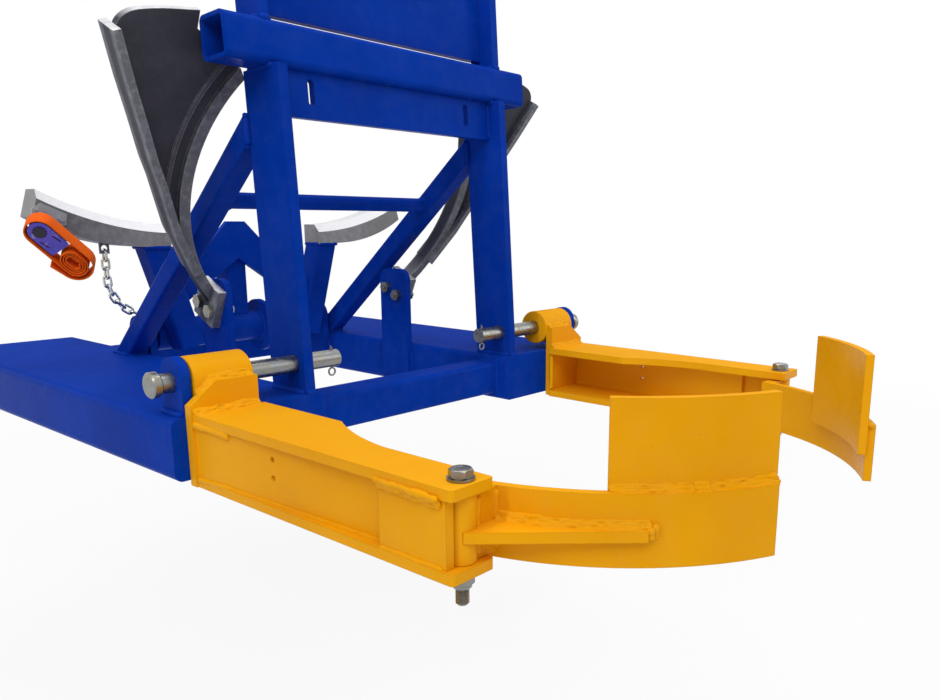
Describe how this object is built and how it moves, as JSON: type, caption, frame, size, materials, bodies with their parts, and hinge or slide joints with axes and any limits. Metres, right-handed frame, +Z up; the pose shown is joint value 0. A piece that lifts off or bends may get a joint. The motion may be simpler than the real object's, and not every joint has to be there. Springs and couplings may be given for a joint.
{
  "type": "forklift drum lifter",
  "caption": "Fork-mounted drum lifter: fork pockets, raked frame, pinned lifting arms with hinged curved jaws, cast guide wings and a tilting saddle yoke.",
  "frame": {"origin": "midway between the two fork pockets, level with their undersides, at the front of their end plates", "axes": "+Y back toward the truck, along the forks; +Z up; +X across, the left side being -X"},
  "size_m": [0.758, 1.3082, 0.6816],
  "materials": {
    "blue_paint": "gloss",
    "yellow_paint": "gloss",
    "zinc_steel": "zinc plated",
    "cast_grey": "as cast",
    "webbing": "woven",
    "plated_steel": "plated",
    "chain_steel": "bright"
  },
  "bodies": {
    "frame": {"fork_pocket_left": "blue_paint", "fork_pocket_right": "blue_paint", "pocket_end_plates": "blue_paint", "pivot_ears": "blue_paint", "upright_left": "blue_paint", "upright_right": "blue_paint", "brace_left": "blue_paint", "brace_right": "blue_paint", "top_cross_tube": "blue_paint", "mid_cross_tube": "blue_paint", "front_cross_tube": "blue_paint", "rear_cross_tube": "blue_paint", "upper_uprights": "blue_paint", "head_plate": "blue_paint", "strap_plate": "blue_paint", "wing_stands": "blue_paint", "bearing_brackets": "blue_paint", "pivot_pins": "zinc_steel", "split_pins": "zinc_steel", "wing_bolts": "zinc_steel", "pivot_shaft": "zinc_steel", "guide_wing_left": "cast_grey", "guide_wing_right": "cast_grey"},
    "arm_left": {"arm_barrel_left": "yellow_paint", "arm_back_plate_left": "yellow_paint", "arm_top_plate_left": "yellow_paint", "arm_bottom_plate_left": "yellow_paint", "arm_web_left": "yellow_paint", "arm_side_plate_left": "yellow_paint", "hinge_bolt_left": "zinc_steel", "hinge_washers_left": "zinc_steel", "hinge_nut_left": "zinc_steel"},
    "jaw_left": {"jaw_barrel_left": "yellow_paint", "jaw_band_left": "yellow_paint", "jaw_pad_left": "yellow_paint", "jaw_gusset_left": "yellow_paint"},
    "arm_right": {"arm_barrel_right": "yellow_paint", "arm_back_plate_right": "yellow_paint", "arm_top_plate_right": "yellow_paint", "arm_bottom_plate_right": "yellow_paint", "arm_web_right": "yellow_paint", "arm_side_plate_right": "yellow_paint", "hinge_bolt_right": "zinc_steel", "hinge_washers_right": "zinc_steel", "hinge_nut_right": "zinc_steel"},
    "jaw_right": {"jaw_barrel_right": "yellow_paint", "jaw_band_right": "yellow_paint", "jaw_pad_right": "yellow_paint", "jaw_gusset_right": "yellow_paint"},
    "yoke": {"yoke_hub": "blue_paint", "yoke_leg_left": "blue_paint", "yoke_leg_right": "blue_paint", "yoke_stay": "blue_paint", "yoke_post": "blue_paint", "saddle_arm_left": "cast_grey", "saddle_arm_right": "cast_grey", "strap_roll": "webbing", "ratchet_frame": "plated_steel"},
    "ratchet_handle": {"ratchet_handle": "plated_steel"},
    "chain": {"hang_chain": "chain_steel"}
  },
  "joints": [
    {"name": "arm_left_lift", "type": "hinge", "parent": "frame", "child": "arm_left", "pos_m": [-0.296, 0.025, 0.106], "axis": [-1, 0, 0], "range_deg": [0, 75]},
    {"name": "jaw_left_swing", "type": "hinge", "parent": "arm_left", "child": "jaw_left", "pos_m": [-0.325, -0.386, 0.035], "axis": [0, 0, -1], "range_deg": [-10, 45]},
    {"name": "arm_right_lift", "type": "hinge", "parent": "frame", "child": "arm_right", "pos_m": [0.296, 0.025, 0.106], "axis": [-1, 0, 0], "range_deg": [0, 75]},
    {"name": "jaw_right_swing", "type": "hinge", "parent": "arm_right", "child": "jaw_right", "pos_m": [0.325, -0.386, 0.035], "axis": [0, 0, 1], "range_deg": [-10, 45]},
    {"name": "yoke_tilt", "type": "hinge", "parent": "frame", "child": "yoke", "pos_m": [0, 0.485, 0.093], "axis": [-1, 0, 0], "range_deg": [0, 60]},
    {"name": "ratchet_handle_turn", "type": "hinge", "parent": "yoke", "child": "ratchet_handle", "pos_m": [-0.32766, 0.40331, 0.26504], "axis": [-0.4545, -0.766, -0.4545], "range_deg": [0, 9]},
    {"name": "chain_swing", "type": "hinge", "parent": "yoke", "child": "chain", "pos_m": [-0.23, 0.444, 0.236], "axis": [0.5728, 0, -0.8197], "range_deg": [-10, 10]}
  ]
}
